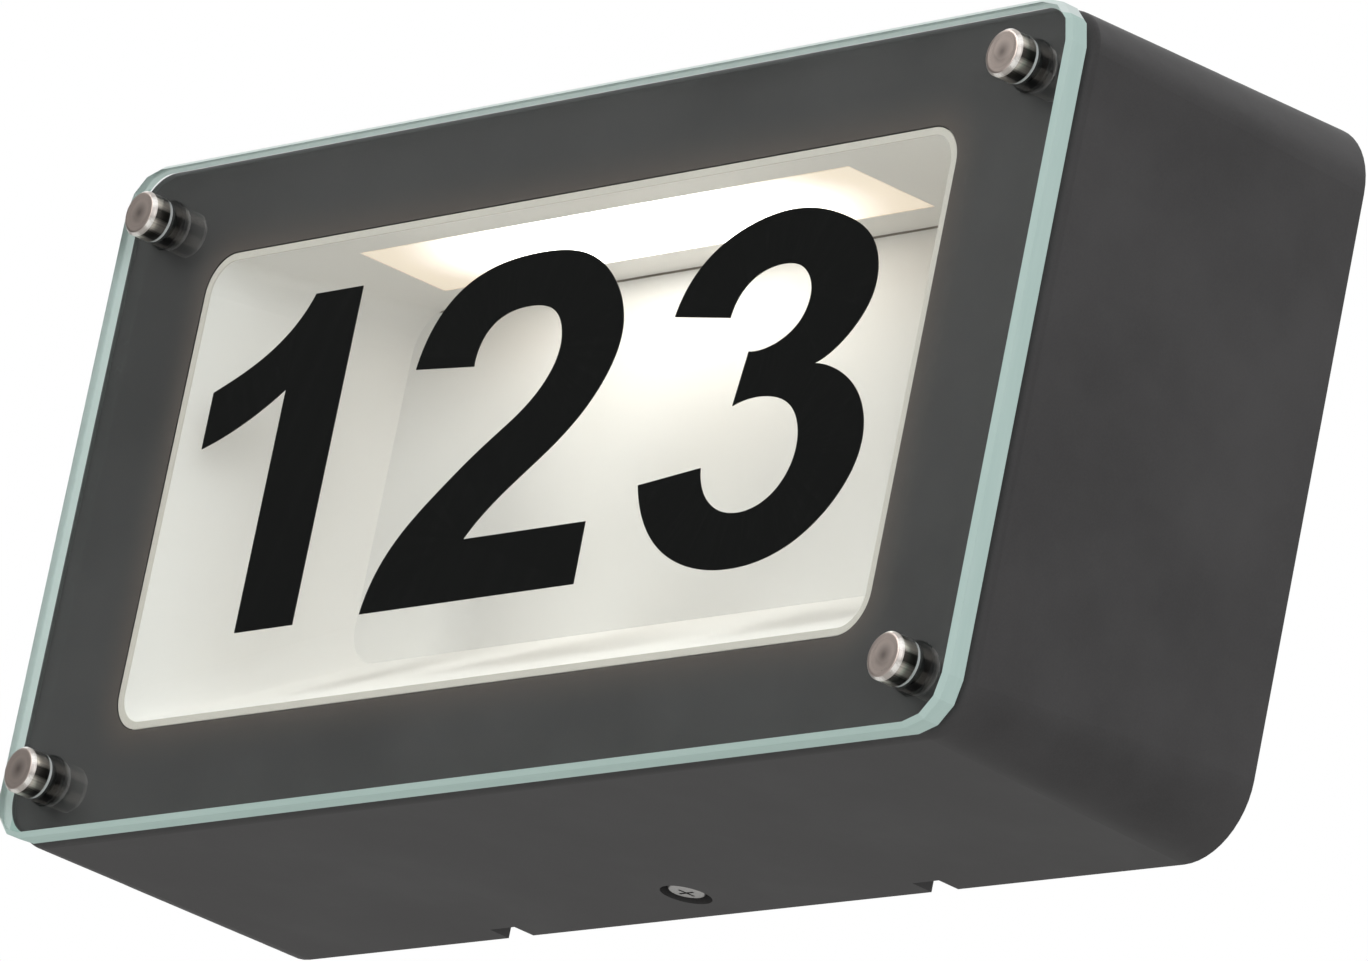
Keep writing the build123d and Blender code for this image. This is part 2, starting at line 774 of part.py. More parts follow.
with BuildPart() as led_board:
    with BuildSketch(Plane.XY.offset(board_bottom_z)):
        with Locations((0, -opening_mid)):
            Rectangle(board_width, board_depth)
        with Locations(*board_points):
            Circle(small_shank_r + running_play, mode=Mode.SUBTRACT)
    extrude(amount=board_thickness)

led_board.part.label = "led_board"
export_step(led_board.part, "parts/led_board.step")

with BuildPart() as led_chips:
    with BuildSketch(Plane.XY.offset(board_bottom_z)):
        with Locations((0, -opening_mid)):
            with GridLocations(chip_pitch, chip_pitch, chip_count, 1):
                Rectangle(chip_size, chip_size)
    extrude(amount=-chip_height)

led_chips.part.label = "led_chips"
export_step(led_chips.part, "parts/led_chips.step")

board_screw_shape = small_screw(board_thickness + carrier_sheet)

with BuildPart() as board_screws:
    with Locations(*facing(downward, [(x, y, board_bottom_z) for x, y in board_points])):
        add(board_screw_shape)

board_screws.part.label = "board_screws"
export_step(board_screws.part, "parts/board_screws.step")

# Driver and terminals

driver_end_x = driver_width / 2
lead_entries = [
    (-driver_end_x, live_z),
    (-driver_end_x, neutral_z),
    (driver_end_x, live_z),
    (driver_end_x, neutral_z),
]

with BuildPart() as led_driver:
    with BuildSketch(at(cover_front)):
        with Locations((0, driver_mid_z)):
            RectangleRounded(driver_width, driver_height, driver_corner_r)
    extrude(amount=driver_depth)
    fillet(led_driver.faces().sort_by(Axis.Y)[0].edges(), driver_edge_r)
    # ears that lie on the cover's pads
    ear_length = driver_height / 2 + driver_ear_rise + driver_ear_width / 2
    with BuildSketch(at(cover_front + pad_height)):
        with Locations((-driver_ear_x, driver_mid_z), (driver_ear_x, driver_mid_z)):
            Rectangle(driver_ear_width, ear_length, align=(Align.CENTER, Align.MIN))
    extrude(amount=driver_ear_thickness)
    with BuildSketch(at(cover_front + pad_height)):
        with Locations(*driver_points):
            Circle(small_shank_r + running_play)
    extrude(amount=driver_ear_thickness, mode=Mode.SUBTRACT)
    # sockets that the leads end in
    for end_x, entry_z in lead_entries:
        with BuildSketch(Plane(spot(end_x, driver_lead_out, entry_z), z_dir=(-end_x, 0, 0))):
            Circle(lead_r + lead_play)
        extrude(amount=lead_socket, mode=Mode.SUBTRACT)

led_driver.part.label = "led_driver"
export_step(led_driver.part, "parts/led_driver.step")

driver_screw_out = cover_front + pad_height + driver_ear_thickness
driver_screw_shape = small_screw(driver_ear_thickness + pad_height)

with BuildPart() as driver_screws:
    with Locations(*facing(to_front, [spot(x, driver_screw_out, z) for x, z in driver_points])):
        add(driver_screw_shape)

driver_screws.part.label = "driver_screws"
export_step(driver_screws.part, "parts/driver_screws.step")

terminal_back = cover_back - terminal_depth
fixing_seat = terminal_back + terminal_well_depth

with BuildPart() as terminal_block:
    with BuildSketch(at(terminal_back)):
        with Locations((terminal_x, 0)):
            RectangleRounded(terminal_width, terminal_height, terminal_corner_r)
    extrude(amount=terminal_depth)
    # wells for the clamping screws and the two fixing screws
    with BuildSketch(at(terminal_back)):
        with Locations(*[(x, 0) for x in terminal_poles]):
            Circle(terminal_well_r)
        with Locations(*terminal_fixing_points):
            Circle(small_head_r + loose_play)
    extrude(amount=terminal_well_depth, mode=Mode.SUBTRACT)
    with BuildSketch(at(fixing_seat)):
        with Locations(*terminal_fixing_points):
            Circle(small_shank_r + running_play)
    extrude(amount=cover_back - fixing_seat, mode=Mode.SUBTRACT)
    # sockets: the lamp's own leads enter from below, the supply's from above
    with BuildSketch(Plane.XY.offset(-terminal_height / 2)):
        with Locations(*[(x, -terminal_lead_out) for x in terminal_poles]):
            Circle(lead_r + lead_play)
    extrude(amount=terminal_socket, mode=Mode.SUBTRACT)
    with BuildSketch(Plane.XY.offset(terminal_height / 2)):
        with Locations(*[(x, -terminal_lead_out) for x in terminal_poles]):
            Circle(lead_r + 2 * lead_play)
    extrude(amount=-terminal_socket, mode=Mode.SUBTRACT)

terminal_block.part.label = "terminal_block"
export_step(terminal_block.part, "parts/terminal_block.step")

with BuildPart() as terminal_screws:
    with BuildSketch(at(fixing_seat - terminal_screw_height)):
        with Locations(*[(x, 0) for x in terminal_poles]):
            Circle(terminal_screw_r)
    extrude(amount=terminal_screw_height)
    with BuildSketch(at(fixing_seat - terminal_screw_height)):
        with Locations(*[(x, 0) for x in terminal_poles]):
            Rectangle(2 * terminal_screw_r, cross_width)
    extrude(amount=terminal_screw_height / 2, mode=Mode.SUBTRACT)

terminal_screws.part.label = "terminal_screws"
export_step(terminal_screws.part, "parts/terminal_screws.step")

fixing_screw_shape = small_screw(cover_back - fixing_seat + cover_thickness)

with BuildPart() as terminal_fixings:
    with Locations(*facing(to_wall, [spot(x, fixing_seat, z) for x, z in terminal_fixing_points])):
        add(fixing_screw_shape)

terminal_fixings.part.label = "terminal_fixings"
export_step(terminal_fixings.part, "parts/terminal_fixings.step")

lug_top = earth_boss_top + lug_thickness

with BuildPart() as earth_lug:
    with BuildSketch(Plane.XY.offset(earth_boss_top)):
        with Locations((earth_x, -earth_out)):
            Circle(lug_ring_r)
            Rectangle(lug_barrel_shift, 2 * lug_barrel_r, align=(Align.MIN, Align.CENTER))
        with Locations((earth_barrel_x, -earth_out)):
            Circle(lug_barrel_r)
        with Locations((earth_x, -earth_out)):
            Circle(small_shank_r + running_play, mode=Mode.SUBTRACT)
    extrude(amount=lug_thickness)
    with BuildSketch(Plane.XY.offset(lug_top)):
        with Locations((earth_barrel_x, -earth_out)):
            Circle(lug_barrel_r)
    extrude(amount=lug_barrel_height)
    with BuildSketch(Plane.XY.offset(lug_top + lug_barrel_height)):
        with Locations((earth_barrel_x, -earth_out)):
            Circle(lead_r + lead_play)
    extrude(amount=-lug_barrel_height / 2, mode=Mode.SUBTRACT)

earth_lug.part.label = "earth_lug"
export_step(earth_lug.part, "parts/earth_lug.step")

earth_screw_shape = small_screw(lug_thickness + earth_screw_bite)

with BuildPart() as earth_screw:
    with Locations((earth_x, -earth_out, lug_top)):
        add(earth_screw_shape)

earth_screw.part.label = "earth_screw"
export_step(earth_screw.part, "parts/earth_screw.step")

# Leads inside the sign

socket_x = driver_end_x - lead_socket
board_back = opening_mid - board_depth / 2
board_lead_z = board_top_z - board_lead_drop
terminal_lead_z = -terminal_height / 2 + terminal_socket
lug_lead_z = lug_top + lug_barrel_height / 2
minus_x = board_width / 2 - board_lead_inset
plus_x = minus_x - led_lead_step

lead_routes = {
    "lead_live": [
        spot(terminal_poles[1], terminal_lead_out, terminal_lead_z),
        spot(terminal_poles[1], terminal_lead_out, -27),
        spot(cover_grommet_x - lead_step, terminal_lead_out, live_z),
        spot(cover_grommet_x - lead_step, driver_lead_out, live_z),
        spot(-socket_x, driver_lead_out, live_z),
    ],
    "lead_neutral": [
        spot(terminal_poles[2], terminal_lead_out, terminal_lead_z),
        spot(terminal_poles[2], terminal_lead_out, -31),
        spot(cover_grommet_x + lead_step, terminal_lead_out, neutral_z),
        spot(cover_grommet_x + lead_step, driver_lead_out, neutral_z),
        spot(-socket_x, driver_lead_out, neutral_z),
    ],
    "lead_earth": [
        spot(terminal_poles[0], terminal_lead_out, terminal_lead_z),
        spot(terminal_poles[0], terminal_lead_out, -21),
        spot(earth_barrel_x, earth_out, -43),
        spot(earth_barrel_x, earth_out, lug_lead_z),
    ],
    "lead_led_plus": [
        spot(socket_x, driver_lead_out, live_z),
        spot(driver_end_x + lead_swing, driver_lead_out, live_z),
        spot(90, 29, -8),
        spot(86, 25, 38),
        spot(plus_x, 25.5, board_lead_z),
        spot(plus_x, board_back, board_lead_z),
    ],
    "lead_led_minus": [
        spot(socket_x, driver_lead_out, neutral_z),
        spot(driver_end_x + lead_swing + led_lead_step, driver_lead_out, neutral_z),
        spot(99, 29, -8),
        spot(95, 25, 40),
        spot(minus_x, 25.5, board_lead_z),
        spot(minus_x, board_back, board_lead_z),
    ],
}

for lead_name, lead_points in lead_routes.items():
    with BuildPart() as lead:
        add(lead_tube(lead_points, lead_r))
    lead.part.label = lead_name
    export_step(lead.part, f"parts/{lead_name}.step")
    print(lead_name, "bend radii:", [round(radius, 1) for radius in bend_radii(lead_points)])

live_hole = lead_tube(lead_routes["lead_live"], lead_r + running_play)
neutral_hole = lead_tube(lead_routes["lead_neutral"], lead_r + running_play)

# The rubber closes round the two leads that pass through it
with BuildPart() as cable_grommet:
    with BuildSketch(at(cover_back)):
        with Locations((cover_grommet_x, driver_mid_z)):
            Circle(cover_grommet_r)
    extrude(amount=cover_thickness)
    with BuildSketch(at(cover_front)):
        with Locations((cover_grommet_x, driver_mid_z)):
            Circle(cover_grommet_flange_r)
    extrude(amount=grommet_flange)
    with BuildSketch(at(cover_back - grommet_flange)):
        with Locations((cover_grommet_x, driver_mid_z)):
            Circle(cover_grommet_flange_r)
    extrude(amount=grommet_flange)
    add(live_hole, mode=Mode.SUBTRACT)
    add(neutral_hole, mode=Mode.SUBTRACT)

cable_grommet.part.label = "cable_grommet"
export_step(cable_grommet.part, "parts/cable_grommet.step")

# Glass plate, digits and caps

with BuildPart() as front_glass:
    with BuildSketch(at(glass_back)):
        with BuildLine():
            Polyline(*ground_outline(), close=True)
        make_face()
        with Locations(*cap_centres):
            Circle(glass_hole_r, mode=Mode.SUBTRACT)
    extrude(amount=glass_thickness)
    chamfer(front_glass.faces().sort_by(Axis.Y)[0].outer_wire().edges(), front_bevel)
    chamfer(front_glass.faces().sort_by(Axis.Y)[-1].outer_wire().edges(), back_arris)

front_glass.part.label = "front_glass"
export_step(front_glass.part, "parts/front_glass.step")

# The digits are films on the back of the glass. Their outlines are drawn about its middle.
def drawn(*points, drawn_height=74.2):
    share = digit_height / drawn_height
    return [(x * share, z * share) for x, z in points]


with BuildPart() as digit_1:
    with BuildSketch(at(glass_back)):
        with BuildLine():
            Spline(*drawn((-107.3, 20.8), (-95, 25.6), (-85, 31.9), (-78.8, 39.6)))
            Polyline(*drawn((-78.8, 39.6), (-63.3, 39.6), (-63.3, -34.6), (-82.4, -34.6), (-82.4, 18.9)))
            ThreePointArc(*drawn((-82.4, 18.9), (-94.5, 12.6), (-107.3, 8.3)))
            Line(*drawn((-107.3, 8.3), (-107.3, 20.8)))
        make_face()
    extrude(amount=-digit_film)

digit_1.part.label = "digit_1"
export_step(digit_1.part, "parts/digit_1.step")

with BuildPart() as digit_2:
    with BuildSketch(at(glass_back)):
        with BuildLine():
            Spline(*drawn(
                (-39.4, 18.4), (-30, 34.3), (-5, 40.1), (14.7, 35.7), (26, 19.3),
                (20.1, 5), (1.1, -10), (-12.1, -21.1),
            ))
            Polyline(*drawn((-12.1, -21.1), (26.6, -21.1), (26.8, -34.4), (-41.4, -34.4)))
            Spline(*drawn(
                (-41.4, -34.4), (-34.9, -20.1), (-23.9, -10), (-9.9, 0), (2.7, 9.3),
                (6.9, 18.6), (4.4, 25.1), (-6.4, 28.5), (-16.7, 25.7), (-20.3, 17),
            ))
            Line(*drawn((-20.3, 17), (-39.4, 18.4)))
        make_face()
    extrude(amount=-digit_film)

digit_2.part.label = "digit_2"
export_step(digit_2.part, "parts/digit_2.step")

with BuildPart() as digit_3:
    with BuildSketch(at(glass_back)):
        with BuildLine():
            Spline(*drawn(
                (42, 20.6), (48.9, 32.1), (62.4, 38.6), (73.9, 39.9), (89.9, 36.4),
                (100.3, 29.3), (102.9, 20), (98.9, 12.1), (88.9, 5.6),
            ))
            Spline(*drawn(
                (88.9, 5.6), (97.4, 2.9), (106.4, -5.7), (108.1, -13), (100.3, -27.1),
                (74, -35.9), (51, -29), (41.1, -15),
            ))
            Line(*drawn((41.1, -15), (59.8, -13.3)))
            Spline(*drawn(
                (59.8, -13.3), (64.6, -21.1), (74.2, -24.1), (85.3, -19.6), (88.4, -12.1),
                (85.3, -3.9), (76, 0.1), (65.9, -0.9),
            ))
            Line(*drawn((65.9, -0.9), (67.6, 10.4)))
            Spline(*drawn(
                (67.6, 10.4), (76, 11.4), (82.6, 16.6), (83.4, 21.5), (80.3, 26.3),
                (72.4, 28.3), (63.5, 25.4), (59.7, 18.4),
            ))
            Line(*drawn((59.7, 18.4), (42, 20.6)))
        make_face()
    extrude(amount=-digit_film)

digit_3.part.label = "digit_3"
export_step(digit_3.part, "parts/digit_3.step")

with BuildPart() as black_washers:
    with BuildSketch(at(housing_front)):
        with Locations(*cap_centres):
            Circle(black_washer_r)
            Circle(stud_r + loose_play, mode=Mode.SUBTRACT)
    extrude(amount=black_washer_thickness)

black_washers.part.label = "black_washers"
export_step(black_washers.part, "parts/black_washers.step")

for number, centre in enumerate(cap_centres, start=1):
    # clear washer, with a spigot that keeps the stud off the glass
    with BuildPart() as cap_washer:
        with BuildSketch(at(glass_front)):
            with Locations(centre):
                Circle(clear_washer_r)
        extrude(amount=clear_washer_thickness)
        with BuildSketch(at(glass_front)):
            with Locations(centre):
                Circle(glass_hole_r - running_play)
        extrude(amount=-spigot_length)
        with BuildSketch(at(cap_seat)):
            with Locations(centre):
                Circle(stud_r + running_play)
        extrude(amount=-clear_washer_thickness - spigot_length, mode=Mode.SUBTRACT)
    cap_washer.part.label = f"cap_washer_{number}"
    export_step(cap_washer.part, f"parts/cap_washer_{number}.step")

    # steel cap, in one piece with its threaded stud
    with BuildPart() as cap:
        with BuildSketch(at(cap_seat)):
            with Locations(centre):
                Circle(cap_r)
        extrude(amount=cap_height)
        chamfer(cap.faces().sort_by(Axis.Y)[0].edges(), cap_chamfer)
        with BuildSketch(at(cap_seat)):
            with Locations(centre):
                Circle(stud_r)
        extrude(amount=housing_front - stud_bite - cap_seat)
    cap.part.label = f"cap_{number}"
    export_step(cap.part, f"parts/cap_{number}.step")
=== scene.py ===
import bpy
from math import cos, pi, radians, sin
from mathutils import Matrix, Vector


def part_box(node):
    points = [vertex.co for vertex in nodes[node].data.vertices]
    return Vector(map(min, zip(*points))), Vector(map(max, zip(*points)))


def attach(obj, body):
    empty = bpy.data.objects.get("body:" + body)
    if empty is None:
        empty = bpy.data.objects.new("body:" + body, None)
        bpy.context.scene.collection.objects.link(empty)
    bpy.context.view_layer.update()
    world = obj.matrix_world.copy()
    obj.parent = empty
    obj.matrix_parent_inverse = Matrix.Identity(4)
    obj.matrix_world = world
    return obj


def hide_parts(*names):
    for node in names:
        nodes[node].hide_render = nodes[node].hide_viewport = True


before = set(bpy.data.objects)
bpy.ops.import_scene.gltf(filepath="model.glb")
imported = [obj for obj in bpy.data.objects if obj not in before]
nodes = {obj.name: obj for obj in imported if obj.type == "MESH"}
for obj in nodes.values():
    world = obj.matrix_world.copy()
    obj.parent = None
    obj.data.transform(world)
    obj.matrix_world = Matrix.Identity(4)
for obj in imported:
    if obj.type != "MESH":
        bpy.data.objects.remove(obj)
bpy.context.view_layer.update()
print("frame loaded:", len(nodes), "nodes")


# A shader socket that can be reckoned with: 1 - mask adds a Math node to its node tree
class Flow:
    def __init__(self, nodework, socket):
        self.nodework = nodework
        self.socket = socket

    def __add__(self, other):
        return self.nodework.reckon("ADD", self, other)

    def __radd__(self, other):
        return self.nodework.reckon("ADD", other, self)

    def __sub__(self, other):
        return self.nodework.reckon("SUBTRACT", self, other)

    def __rsub__(self, other):
        return self.nodework.reckon("SUBTRACT", other, self)

    def __mul__(self, other):
        return self.nodework.reckon("MULTIPLY", self, other)

    def __rmul__(self, other):
        return self.nodework.reckon("MULTIPLY", other, self)

    def __pow__(self, other):
        return self.nodework.reckon("POWER", self, other)

    def __rpow__(self, other):
        return self.nodework.reckon("POWER", other, self)

    def __gt__(self, other):
        return self.nodework.reckon("GREATER_THAN", self, other)

    def __lt__(self, other):
        return self.nodework.reckon("LESS_THAN", self, other)


# The nodes of one material or of the world
class Nodework:
    def __init__(self, owner, outputKind):
        owner.use_nodes = True
        self.tree = owner.node_tree
        self.tree.nodes.clear()
        self.output = self.tree.nodes.new(outputKind)

    def feed(self, socket, value):
        if isinstance(value, Flow):
            self.tree.links.new(value.socket, socket)
        else:
            socket.default_value = value

    def add(self, kind, settings=None, sockets=None, give=0):
        node = self.tree.nodes.new(kind)
        for key, value in (settings or {}).items():
            setattr(node, key, value)
        for key, value in (sockets or {}).items():
            self.feed(node.inputs[key], value)
        return Flow(self, node.outputs[give])

    def reckon(self, operation, *values):
        return self.add("ShaderNodeMath", {"operation": operation}, dict(enumerate(values)))

    def mixed(self, share, first, second):
        return self.add("ShaderNodeMixShader", sockets={0: share, 1: first, 2: second})


# A node material. Sockets that stay the same all over are set on the shader by name.
class Finish(Nodework):
    def __init__(self, name, **constants):
        self.material = bpy.data.materials.new(name)
        super().__init__(self.material, "ShaderNodeOutputMaterial")
        self.surface = self.principled(**constants)
        self.shader = self.surface.socket.node
        self.feed(self.output.inputs["Surface"], self.surface)

    def principled(self, **constants):
        sockets = {words.replace("_", " "): value for words, value in constants.items()}
        return self.add("ShaderNodeBsdfPrincipled", sockets=sockets)

    # Where a point of the surface is, in metres in its object's frame, stretched along each axis
    def spot(self, stretch=(1, 1, 1)):
        here = self.add("ShaderNodeTexCoord", give="Object")
        return self.add("ShaderNodeVectorMath", {"operation": "MULTIPLY"}, {0: here, 1: stretch})

    def noise(self, perMetre, detail=2.0, rough=0.5, where=None):
        sockets = {
            "Vector": where or self.spot(),
            "Scale": perMetre,
            "Detail": detail,
            "Roughness": rough,
        }
        return self.add("ShaderNodeTexNoise", sockets=sockets)

    def parts(self, vector):
        split = self.add("ShaderNodeSeparateXYZ", sockets={0: vector}).socket.node
        return [Flow(self, socket) for socket in split.outputs]

    # Which way the surface looks: -1 is straight to the front and 1 straight to the wall
    def facing(self):
        return self.parts(self.add("ShaderNodeNewGeometry", give="Normal"))[1]

    # How far a point is outside a rectangle with round corners, seen from the front
    def outside(self, halfWidth, halfHeight, cornerRadius):
        x, _, z = self.parts(self.spot())
        overX = self.reckon("ABSOLUTE", x) - (halfWidth - cornerRadius)
        overZ = self.reckon("ABSOLUTE", z) - (halfHeight - cornerRadius)
        cornerX, cornerZ = self.reckon("MAXIMUM", overX, 0), self.reckon("MAXIMUM", overZ, 0)
        within = self.reckon("MINIMUM", self.reckon("MAXIMUM", overX, overZ), 0)
        return (cornerX * cornerX + cornerZ * cornerZ) ** 0.5 + within - cornerRadius

    def between(self, share, *colours):
        first, second = [(*colour, 1) if isinstance(colour, tuple) else colour for colour in colours]
        return self.add("ShaderNodeMix", {"data_type": "RGBA"}, {0: share, 6: first, 7: second}, give=2)

    # Takes the values from comes[0] to comes[1] to those from goes[0] to goes[1]
    def spread(self, value, comes, goes=(0, 1)):
        sockets = {0: value, 1: comes[0], 2: comes[1], 3: goes[0], 4: goes[1]}
        return self.add("ShaderNodeMapRange", {"clamp": True}, sockets)

    def paint(self, **flows):
        for words, value in flows.items():
            self.feed(self.shader.inputs[words.replace("_", " ")], value)

    def emboss(self, height, metres, strength=1.0):
        sockets = {"Height": height, "Distance": metres, "Strength": strength}
        bump = self.add("ShaderNodeBump", sockets=sockets)
        self.feed(self.shader.inputs["Normal"], bump)


def dress(finish, *names):
    for name in names:
        for materialSlot in nodes[name].material_slots:
            materialSlot.material = finish.material


def shaded(colour, share):
    return tuple(share * value for value in colour)


# Most values of a noise lie in here
noiseReach = (0.3, 0.7)

# A surface looks to the front when its facing is below this
frontFacing = -0.9

# The photograph was taken from below and from the right, far away, and the picture is turned
camera = {
    "aim": (0.0585, -0.0793, -0.0166),
    "distance": 2.4137,
    "azimuth": 142.209,
    "elevation": 16.428,
    "roll": 11.454,
    "lens": 321.8,
    "sensorWidth": 36,
    "farthest": 50,
}


def placeCamera(c):
    az, el = radians(c["azimuth"]), radians(c["elevation"])
    gaze = Vector((cos(el) * cos(az), cos(el) * sin(az), sin(el)))
    data = bpy.data.cameras.new("photoCamera")
    data.lens = c["lens"]
    data.sensor_width = c["sensorWidth"]
    data.sensor_fit = "HORIZONTAL"
    data.clip_end = c["farthest"]
    eye = bpy.data.objects.new("photoCamera", data)
    turn = gaze.to_track_quat("-Z", "Y").to_matrix() @ Matrix.Rotation(radians(c["roll"]), 3, "Z")
    eye.matrix_world = Matrix.Translation(Vector(c["aim"]) - gaze * c["distance"]) @ turn.to_4x4()
    bpy.context.scene.collection.objects.link(eye)
    bpy.context.scene.camera = eye


placeCamera(camera)

# Soft lamps: where each one stands, its side in metres, its power and its colour
studio = {
    "keyLamp": ((-1.6, -2.4, 1.5), 1.8, 34, (1.0, 0.99, 0.97)),
    "fillLamp": ((2.6, -1.4, 0.5), 2.0, 20, (0.97, 0.98, 1.0)),
    "lowLamp": ((0.4, -1.6, -1.0), 1.4, 1.2, (1.0, 1.0, 1.0)),
    "backLamp": ((0.6, 2.4, 1.6), 2.0, 24, (1.0, 1.0, 1.0)),
}
room = {"ambient": 0.55, "floorDrop": 1.1, "floorSize": 30.0, "floor": (0.76, 0.76, 0.75)}


def lightStudio():
    for name, (place, side, power, colour) in studio.items():
        data = bpy.data.lights.new(name, "AREA")
        data.size = side
        data.energy = power
        data.color = colour
        lamp = bpy.data.objects.new(name, data)
        lamp.location = place
        lamp.rotation_euler = (-Vector(place)).to_track_quat("-Z", "Y").to_euler()
        bpy.context.scene.collection.objects.link(lamp)


# White to the camera, in reflections and through glass, and plain soft light to everything else
def paintWorld():
    world = bpy.data.worlds.new("studioWorld")
    bpy.context.scene.world = world
    sky = Nodework(world, "ShaderNodeOutputWorld")
    white = (1, 1, 1, 1)
    seen = sky.add("ShaderNodeBackground", sockets={"Color": white, "Strength": 1.0})
    soft = sky.add("ShaderNodeBackground", sockets={"Color": white, "Strength": room["ambient"]})
    anyOf = 0.0
    for ray in ("Is Camera Ray", "Is Glossy Ray", "Is Transmission Ray"):
        anyOf = sky.add("ShaderNodeLightPath", give=ray) + anyOf
    sky.feed(sky.output.inputs["Surface"], sky.mixed(anyOf > 0.5, soft, seen))


# Flat sheets of the studio: a plain matt colour with a faint cloud
flatSheet = {"roughness": 0.9, "cloud": 0.96, "cloudPerMetre": 3.0}


def flatMesh(name, halfWidth, halfHeight, level, colour):
    signs = ((-1, -1), (1, -1), (1, 1), (-1, 1))
    corners = [(across * halfWidth, up * halfHeight, level) for across, up in signs]
    mesh = bpy.data.meshes.new(name)
    mesh.from_pydata(corners, [], [(0, 1, 2, 3)])
    finish = Finish(name, Roughness=flatSheet["roughness"])
    cloud = finish.noise(flatSheet["cloudPerMetre"], 3.0)
    finish.paint(Base_Color=finish.between(cloud, colour, shaded(colour, flatSheet["cloud"])))
    mesh.materials.append(finish.material)
    sheet = bpy.data.objects.new(name, mesh)
    bpy.context.scene.collection.objects.link(sheet)
    return sheet


# A black card stands where the glass mirrors to from the photograph's side, and only the
# reflections see it, so that the digits stay black behind the glass
blackCard = {"distance": 1.5, "width": 1.3, "height": 1.1, "colour": (0.006, 0.006, 0.006)}


def standCard(c):
    az, el = radians(camera["azimuth"]), radians(camera["elevation"])
    mirrored = Vector((cos(el) * cos(az), -cos(el) * sin(az), sin(el)))
    card = flatMesh("blackCard", c["width"] / 2, c["height"] / 2, 0, c["colour"])
    card.location = mirrored * c["distance"]
    card.rotation_euler = (-mirrored).to_track_quat("Z", "Y").to_euler()
    card.visible_camera = False
    card.visible_diffuse = False
    card.visible_shadow = False


lightStudio()
paintWorld()
flatMesh("studioFloor", room["floorSize"] / 2, room["floorSize"] / 2, -room["floorDrop"], room["floor"])
standCard(blackCard)
bpy.context.scene.view_settings.view_transform = "Standard"
print("camera, lamps and floor are in place")

# Housing and rear cover: fine dark powder coat with a faint mottle, and a warm glow of painted
# light round the lit window
darkCoat = {
    "colour": (0.048, 0.0465, 0.047),
    "paler": (0.068, 0.066, 0.0665),
    "specular": 0.12,
    "mottlePerMetre": 22,
    "mottleReach": (0.45, 0.8),
    "grainPerMetre": 2600,
    "grainShare": 0.25,
    "grainDepth": 0.00001,
    "grainStrength": 0.3,
    "roughness": (0.42, 0.56),
    "paintedGlowAndZincBloom": (0.105, 0.086, 0.076),
    "paintedGlowShare": 0.9,
    "paintedGlowAndZincBloomReach": 0.010,
    "window": (0.1192, 0.053, 0.0087),
}


def makeDarkCoat(d):
    finish = Finish("darkPowderCoat", Specular_IOR_Level=d["specular"])
    mottle = finish.noise(d["mottlePerMetre"], 4.0, 0.6)
    grain = finish.noise(d["grainPerMetre"])
    tone = finish.spread(mottle + d["grainShare"] * grain, d["mottleReach"])
    # Painted light: a warm glow is painted into the coat's colour on front faces near the window's outline
    near = finish.spread(finish.outside(*d["window"]), (0, d["paintedGlowAndZincBloomReach"]), (d["paintedGlowShare"], 0))
    isPaintedGlow = near * near * (finish.facing() < frontFacing)
    coat = finish.between(tone, d["colour"], d["paler"])
    finish.paint(
        Base_Color=finish.between(isPaintedGlow, coat, d["paintedGlowAndZincBloom"]),
        Roughness=finish.spread(mottle, (0.35, 0.65), d["roughness"]),
    )
    finish.emboss(grain, d["grainDepth"], d["grainStrength"])
    return finish


dress(makeDarkCoat(darkCoat), "housing", "rear_cover")

# Clear glass with ground edges: the face is clear, and the rim and a narrow margin on the back
# are softly frosted. The rim is painted paler on the plate's left and top, as painted light.
clearGlass = {
    "edge": (0.46, 0.61, 0.57),
    "edgePaler": (0.56, 0.70, 0.66),
    "edgePaintedPale": (0.72, 0.80, 0.78),
    "farSide": 0.146,
    "farTop": 0.071,
    "outline": (0.1485, 0.075, 0.010),
    "rimDepth": 0.003,
    "rimFacing": 0.75,
    "rimRoughness": 0.6,
    "margin": 0.0013,
    "back": 0.0744,
    "streaksPerMetre": 420,
    "streakStretch": (0.1, 1, 0.1),
    "through": (0.96, 0.975, 0.97),
    "absorb": (0.62, 0.86, 0.76),
    "density": 9.0,
    "refraction": 1.5,
}


def makeGlass(d):
    finish = Finish(
        "clearGlass", Base_Color=(1, 1, 1, 1), Roughness=0.0, IOR=d["refraction"], Transmission_Weight=1.0,
    )
    streaks = finish.noise(d["streaksPerMetre"], 3.0, 0.6, finish.spot(d["streakStretch"]))
    x, y, z = finish.parts(finish.spot())
    # Painted light: the rim is painted paler on the plate's left and top
    isPaintedPale = (x < -d["farSide"]) + (z > d["farTop"]) > 0.5
    ground = finish.between(streaks, d["edge"], d["edgePaler"])
    tone = finish.between(isPaintedPale, ground, d["edgePaintedPale"])
    rim = finish.principled(Base_Color=tone, Roughness=d["rimRoughness"], Specular_IOR_Level=0.0)
    facing, beyond = finish.facing(), finish.outside(*d["outline"])
    isRim = (facing * facing < d["rimFacing"]) * (beyond > -d["rimDepth"])
    isMargin = (beyond > -d["margin"]) * (y > -d["back"])
    body = finish.mixed(isRim + isMargin > 0.5, finish.surface, rim)
    clear = finish.add("ShaderNodeBsdfTransparent", sockets={"Color": (*d["through"], 1)})
    shadow = finish.add("ShaderNodeLightPath", give="Is Shadow Ray")
    finish.feed(finish.output.inputs["Surface"], finish.mixed(shadow, body, clear))
    mint = {"Color": (*d["absorb"], 1), "Density": d["density"]}
    finish.feed(finish.output.inputs["Volume"], finish.add("ShaderNodeVolumeAbsorption", sockets=mint))
    return finish


